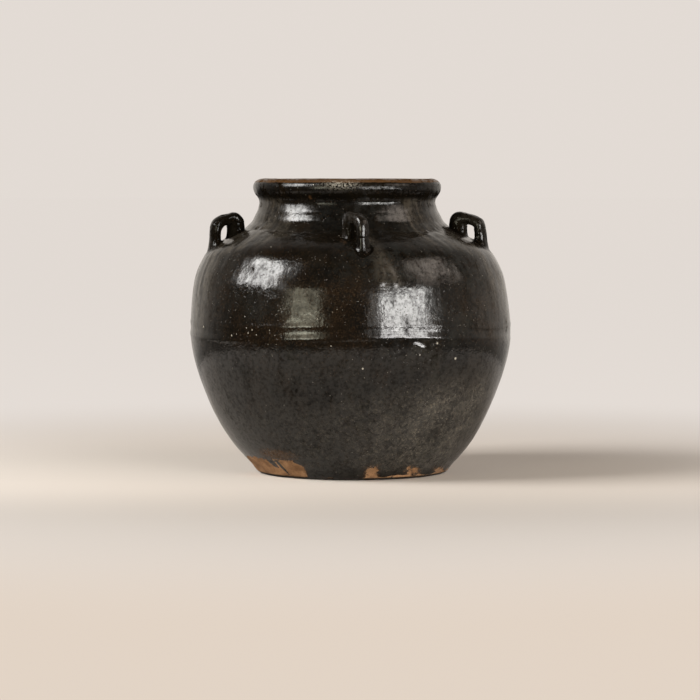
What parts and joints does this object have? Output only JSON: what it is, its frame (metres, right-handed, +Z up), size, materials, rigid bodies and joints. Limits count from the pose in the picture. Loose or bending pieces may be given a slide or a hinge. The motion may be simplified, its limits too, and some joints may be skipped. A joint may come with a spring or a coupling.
{
  "type": "martaban jar",
  "caption": "Wide-mouthed, round-shouldered stoneware storage jar with a thick rolled lip, small strap lugs on the shoulder and a dark brown-black glaze.",
  "frame": {"origin": "centre of the foot, on the resting plane", "axes": "+Z up along the jar's axis, front of the jar towards -Y, +X to the right seen from the front"},
  "size_m": [0.3301, 0.3302, 0.301],
  "materials": {
    "glazed_stoneware": "gloss",
    "bare_stoneware": "matte"
  },
  "bodies": {
    "root": {"base_slab": "bare_stoneware", "lower_body": "glazed_stoneware", "upper_body": "glazed_stoneware", "neck": "glazed_stoneware", "lip": "glazed_stoneware", "lug_front": "glazed_stoneware", "lug_right": "glazed_stoneware", "lug_back_right": "glazed_stoneware", "lug_back_left": "glazed_stoneware", "lug_left": "glazed_stoneware"}
  },
  "joints": []
}
